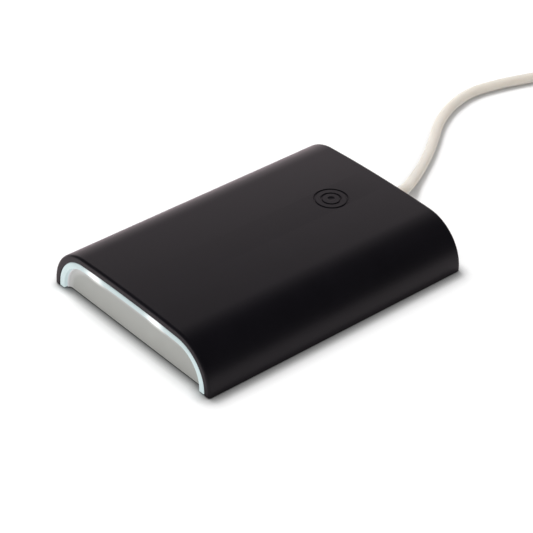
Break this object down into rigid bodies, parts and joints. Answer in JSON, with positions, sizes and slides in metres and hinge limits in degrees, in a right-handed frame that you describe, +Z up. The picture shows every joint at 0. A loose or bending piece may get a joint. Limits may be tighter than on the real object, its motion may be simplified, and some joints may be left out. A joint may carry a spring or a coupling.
{
  "type": "contactless smart card reader",
  "caption": "Desktop contactless smart card reader: an arched housing over a tray, with a lit front ring and a USB cable at the rear.",
  "frame": {"origin": "on the surface that the feet stand on, under the middle of the housing", "axes": "+X to the right seen from the lit end, +Y along the housing towards the cable end, +Z up"},
  "size_m": [0.0868, 0.2611, 0.0178],
  "materials": {
    "cover_black": "fine satin texture",
    "tray_grey": "satin moulded",
    "guide_clear": "frosted clear plastic, lit from behind",
    "cable_beige": "soft satin jacket",
    "board_green": "glossy solder mask",
    "copper": "bare copper",
    "chip_black": "matte moulded case",
    "can_metal": "satin nickel",
    "lamp_white": "clear lens in a white case",
    "ceramic_tan": "fired ceramic with tinned ends",
    "socket_cream": "moulded nylon",
    "wire_red": "smooth insulation",
    "wire_white": "smooth insulation",
    "wire_green": "smooth insulation",
    "wire_black": "smooth insulation",
    "screw_steel": "zinc plated",
    "foot_rubber": "matte rubber",
    "strap_black": "woven hook and loop strap",
    "plug_metal": "nickel plated sheet",
    "tongue_white": "moulded thermoplastic",
    "contact_gold": "gold plated"
  },
  "bodies": {
    "root": {"top_cover": "cover_black", "base_tray": "tray_grey", "light_guide": "guide_clear", "circuit_board": "board_green", "antenna_loop": "copper", "rf_chip": "chip_black", "controller_chip": "chip_black", "rf_crystal": "can_metal", "usb_crystal": "can_metal", "voltage_regulator": "chip_black", "led_left": "lamp_white", "led_right": "lamp_white", "capacitors": "ceramic_tan", "resistors": "chip_black", "inductors": "chip_black", "cable_header": "socket_cream", "header_plug": "socket_cream", "wire_red": "wire_red", "wire_white": "wire_white", "wire_green": "wire_green", "wire_black": "wire_black", "cable_strain_relief": "cable_beige", "housing_screws": "screw_steel", "board_screws": "screw_steel", "foot_front_left": "foot_rubber", "foot_front_right": "foot_rubber", "foot_rear_left": "foot_rubber", "foot_rear_right": "foot_rubber", "usb_cable": "cable_beige", "usb_cable_coil": "cable_beige", "usb_cable_tail": "cable_beige", "coil_tie": "strap_black", "usb_plug_body": "cable_beige", "usb_plug_shell": "plug_metal", "usb_plug_tongue": "tongue_white", "usb_plug_contacts": "contact_gold"}
  },
  "joints": []
}
